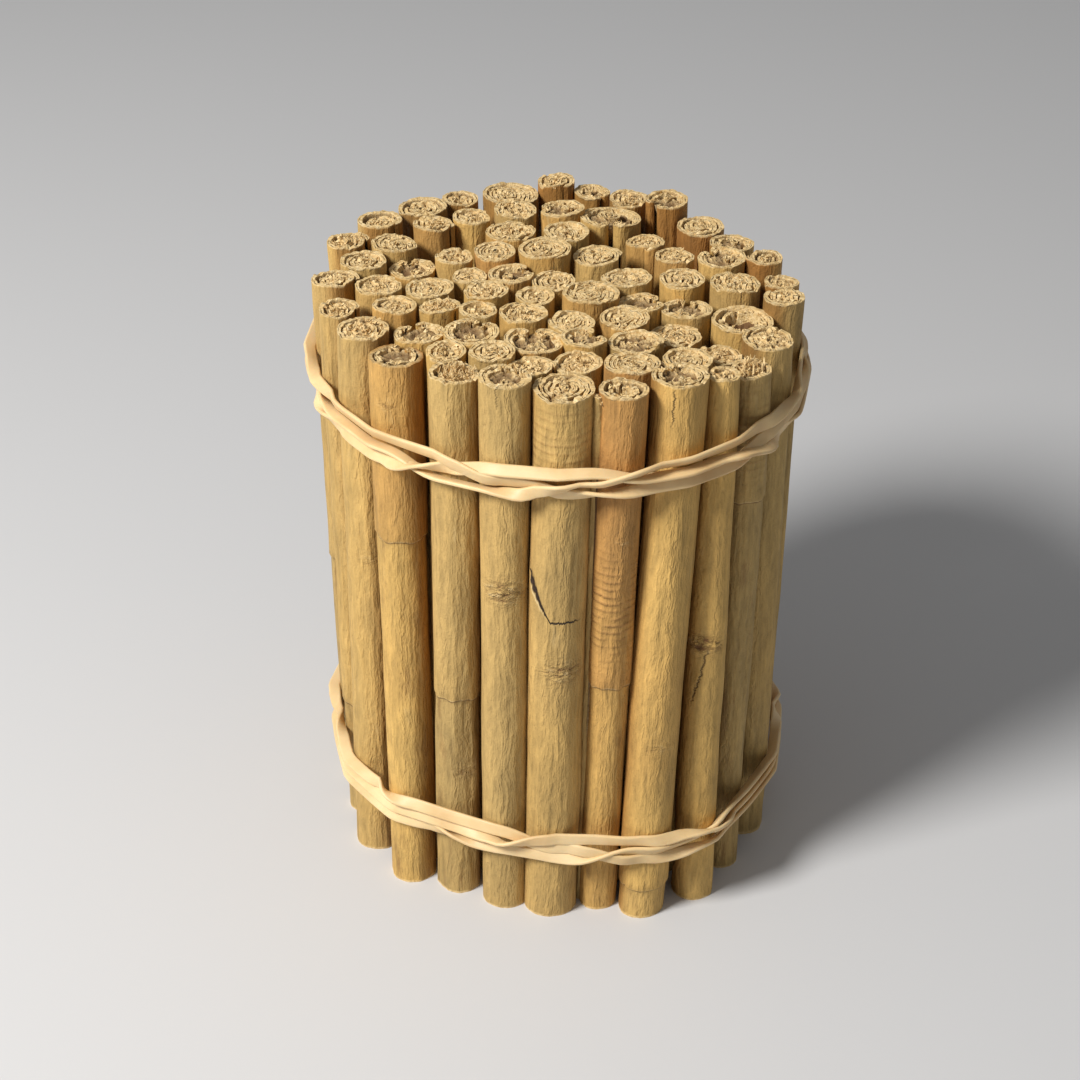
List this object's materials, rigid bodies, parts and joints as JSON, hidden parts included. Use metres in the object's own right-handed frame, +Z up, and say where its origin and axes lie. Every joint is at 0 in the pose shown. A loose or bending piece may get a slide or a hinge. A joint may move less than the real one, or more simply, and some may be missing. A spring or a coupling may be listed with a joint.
{
  "type": "stack of cinnamon sticks",
  "caption": "Upright bundle of rolled cinnamon bark quills with curled ends, held together by two wrapped rubber bands.",
  "frame": {"origin": "centre of the footprint, on the surface that the feet of the quills stand on", "axes": "+Z up along the quills, -Y towards the front, +X to the right seen from the front"},
  "size_m": [0.1045, 0.1088, 0.1301],
  "materials": {
    "bark": "matte golden tan inner bark with fine wavy fibres, scars and frayed ends",
    "latex": "cream natural rubber with a soft satin sheen"
  },
  "bodies": {
    "root": {"quill_bundle": "bark", "band_upper": "latex", "band_lower": "latex"}
  },
  "joints": []
}
